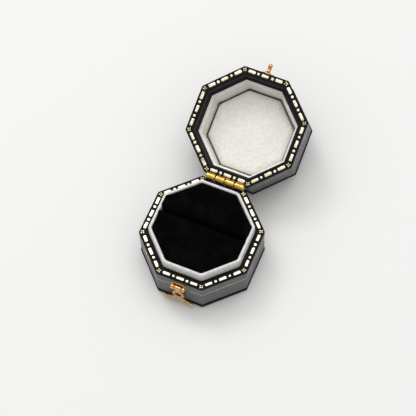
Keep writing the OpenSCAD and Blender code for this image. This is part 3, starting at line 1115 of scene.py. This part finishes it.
def add_hinge(name, body, node, own, z0, z1, bore):
    """A hinge leaf: its knuckles and the strip that joins them to the wall."""
    leaf_t = 0.46
    leaf_y = box_w / 2 - 0.75
    shapes = [knuckle_shape(index, bore) for index in own]
    step = hinge_len / 4
    for index in range(4):
        left = (index - 2) * step
        # The strip just reaches its own knuckles and stays clear of the others
        clear = 0.3 if index in own else 1.1
        low, high = (z0, z1 - clear) if body == "base" else (z0 + clear, z1)
        outline = [(left, low), (left + step, low), (left + step, high), (left, high)]
        strip = sheet_metal([outline], leaf_t, 0.06)
        shapes.append(moved(strip, Matrix.Translation((0, leaf_y, 0)) @ UPRIGHT))
    add_piece(name, joined(shapes), body, "hinge_brass", [node])


def add_hinge_pin():
    reach = hinge_len / 2
    outline = [(0, -reach - 0.12), (0.4, -reach - 0.08), (0.6, -reach + 0.05),
               (0.6, reach - 0.05), (0.4, reach + 0.08), (0, reach + 0.12)]
    shape = moved(turned(outline, 32), along_x(0, hinge_y, hinge_z))
    add_piece("hinge_rod", shape, "base", "hinge_brass", ["hinge_pin"])


# ---- clasp ----


def mirrored(right_half):
    """An outline from its right half, which runs from the top middle to the bottom middle."""
    return right_half + [(-x, y) for x, y in reversed(right_half) if x != 0]


def hasp_outlines():
    """The hasp's outer outline and its hole, hanging from an axis at the origin."""
    low = -12.4
    half = [
        (1.35, 0.4), (1.25, -1.3), (1.0, -2.5), (1.05, -3.4), (1.75, -4.4), (2.45, -5.5),
        (2.75, -6.9), (2.5, -8.2), (1.95, -9.2), (2.05, -9.9), (2.9, -10.5), (4.2, -11.2),
        (5.5, -11.75), (6.2, low), (5.6, -13.0), (4.5, -12.75), (3.3, -12.35), (2.2, -11.75),
        (1.2, -11.5), (0.5, -11.95), (0, -12.2),
    ]
    hole = [(1.45 * math.sin(a), -6.9 + 1.85 * math.cos(a))
            for a in (2 * math.pi * k / 36 for k in range(36))]
    return smooth_line(mirrored(half), 5), hole


def add_hasp():
    """The swinging hasp: its knuckle, pierced plate and flared tail with ball ends."""
    outer, hole = hasp_outlines()
    plate = sheet_metal([outer, hole], 0.8, 0.2)
    # The tail curls a little away from the wall, so that a fingertip can lift it
    bent = []
    for point in plate[0]:
        down = max(0.0, -point.y - 9.5)
        rim = 0.14 if abs(math.hypot(point.x / 2.2, (point.y + 6.9) / 2.85) - 1) < 0.1 else 0.0
        bent.append(Vector((point.x, point.y, point.z * (1 + rim) + 0.05 * down * down)))
    shapes = [moved((bent, plate[1]), Matrix.Translation(hasp_at) @ UPRIGHT)]
    outline = [(0.46, -1.62), (1.0, -1.62), (1.1, -1.5), (1.1, 1.5), (1.0, 1.62), (0.46, 1.62)]
    shapes.append(moved(turned(outline, 40, closed=True), along_x(*hasp_at)))
    ball = [(0.78 * math.sin(a), -0.78 * math.cos(a))
            for a in (math.pi * k / 14 for k in range(15))]
    for x in (-5.95, 5.95):
        place = Matrix.Translation((x, hasp_at.y - 0.4, hasp_at.z - 12.4))
        shapes.append(moved(turned(ball, 28), place))
    add_piece("hasp_flap", joined(shapes), "hasp", "clasp_brass", ["clasp_hasp"], 50)


def round_pin(radius, rise):
    """A domed pin head standing on a plate."""
    return turned([(0.0, -0.2), (radius, -0.2), (radius, rise * 0.35), (radius * 0.75, rise * 0.8),
                   (radius * 0.35, rise), (0.0, rise * 1.03)], 24)


def add_clasp_plate():
    low, high = shut_box("clasp_plate")
    half = (high.x - low.x) / 2
    top = high.z - hasp_at.z
    outline = [
        (-half, -0.5), (-1.8, -0.5), (-1.8, 1.45), (1.8, 1.45), (1.8, -0.5), (half, -0.5),
        (half, top - 0.9), (half - 0.35, top - 0.25), (half - 1.0, top), (1.4, top - 0.12),
        (0.6, top + 0.05), (0, top + 0.1), (-0.6, top + 0.05), (-1.4, top - 0.12),
        (-half + 1.0, top), (-half + 0.35, top - 0.25), (-half, top - 0.9),
    ]
    shapes = [moved(sheet_metal([outline], 0.5, 0.12), out_of_front(0, hasp_at.z, 0.25))]
    for side in (-1, 1):
        outline = [(0.42, -0.72), (0.98, -0.72), (1.1, -0.6), (1.1, 0.6), (0.98, 0.72),
                   (0.42, 0.72)]
        shapes.append(moved(turned(outline, 40, closed=True),
                            along_x(side * 2.5, hasp_at.y, hasp_at.z)))
    add_piece("clasp_base_plate", joined(shapes), "base", "clasp_brass", ["clasp_plate"], 50)


def add_clasp_pin():
    outline = [(0, -3.38), (0.28, -3.34), (0.4, -3.22), (0.4, 3.22), (0.28, 3.34), (0, 3.38)]
    shape = moved(turned(outline, 24), along_x(*hasp_at))
    add_piece("clasp_rod", shape, "base", "clasp_brass", ["clasp_hinge_pin"])


def add_plate_pins(name, body, node):
    low, high = shut_box(node)
    z = (low.z + high.z) / 2
    x_out = high.x - (high.z - low.z) / 2
    shapes = [moved(round_pin(0.5, 0.26), out_of_front(x, z, 0.5)) for x in (-x_out, x_out)]
    add_piece(name, joined(shapes), body, "clasp_brass", [node])


def add_catch():
    """The lid's catch: a shaped plate, and a turned stud with a flared foot and ball head."""
    half_l = [(0.0, 2.15), (0.9, 2.05), (1.8, 1.6), (2.6, 1.25), (3.15, 0.7), (3.3, 0.0),
              (3.15, -0.7), (2.6, -1.25), (1.8, -1.6), (0.9, -2.05), (0.0, -2.15)]
    plate = sheet_metal([smooth_line(mirrored(half_l), 4)], 0.5, 0.14)
    plate = moved(plate, out_of_front(0, stud_z, 0.25))
    add_piece("catch_plate", plate, "lid", "clasp_brass", ["lid_catch_plate"])
    out = front_y - shut_box("lid_catch_stud")[0].y
    ball_r = 1.05
    outline = [(0, -0.3), (2.05, 0.3), (2.1, 0.55), (1.8, 0.8), (1.35, 1.1), (1.0, 1.45),
               (0.84, 1.8), (0.8, 2.4), (0.82, 2.75), (0.98, 2.85), (1.0, 3.0), (0.86, 3.1)]
    for k in range(3, 15):
        angle = math.pi * k / 14
        outline.append((ball_r * math.sin(angle), out - ball_r - ball_r * math.cos(angle)))
    shape = moved(turned(outline, 40), out_of_front(0, stud_z))
    add_piece("catch_stud", shape, "lid", "clasp_brass", ["lid_catch_stud"])


# ==== building ====

add_camera()
add_studio()

for name, node in frame["nodes"].items():
    slot_name = next(part["material_slot"] for part in frame["record"]["subparts"]
                     if part["node"] == name)
    node.data.materials.clear()
    node.data.materials.append(LOOKS[slot_name])

add_wall("base_wall_cover", "base", foot_z, base_z - facing_t, "base_leather", 1)
add_wall("lid_wall_cover", "lid", lid_z + facing_t, panel_z, "lid_leather", 2)
add_facing("base_rim", "base", base_z, 1, collar_w, "base_rim_facing", 3)
add_facing("lid_rim", "lid", lid_z, -1, recess_w - 2 * LINING_T, "lid_rim_facing", 4)

bottom_low, bottom_high = shut_box("base_bottom_panel")
add_slab("base_foot_board", "base", "black_leather", "base_bottom_panel",
         width_of("base_bottom_panel"), bottom_low.z, bottom_high.z, 0.55, 0.9, 5)
add_slab("lid_top_board", "lid", "black_leather", "lid_top_panel",
         width_of("lid_top_panel"), panel_z, lid_top_z, 0.6, 0.9, 6)
add_slab("base_felt_sheet", "base", "felt", "base_felt", width_of("base_felt"), 0,
         bottom_low.z, 0.12, 0.8, 7)

add_side_line("base")
add_side_line("lid")
add_piece("base_border", gilding(base_z, 1, 11, plain_side=SIDES // 2), "base", "gilt_foil",
          ["base_rim_gilding"])
add_piece("lid_border", gilding(lid_z, -1, 12), "lid", "gilt_foil", ["lid_rim_gilding"])

add_collar()
add_ring_pad("velvet_front", "ring_pad_front", -1)
add_ring_pad("velvet_rear", "ring_pad_rear", 1)

add_inner_wall()
add_side_lining()
add_lid_pad()

base_leaf_z = shut_box("hinge_leaf_base")[0].z
lid_leaf_z = shut_box("hinge_leaf_lid")[1].z
add_hinge("hinge_base", "base", "hinge_leaf_base", (0, 2), base_leaf_z, base_z, 0.6)
add_hinge("hinge_lid", "lid", "hinge_leaf_lid", (1, 3), lid_z, lid_leaf_z, 0.65)
add_hinge_pin()

add_clasp_plate()
add_clasp_pin()
add_plate_pins("clasp_pins", "base", "clasp_plate_pins")
add_hasp()
add_catch()
add_plate_pins("catch_pins", "lid", "lid_catch_pins")
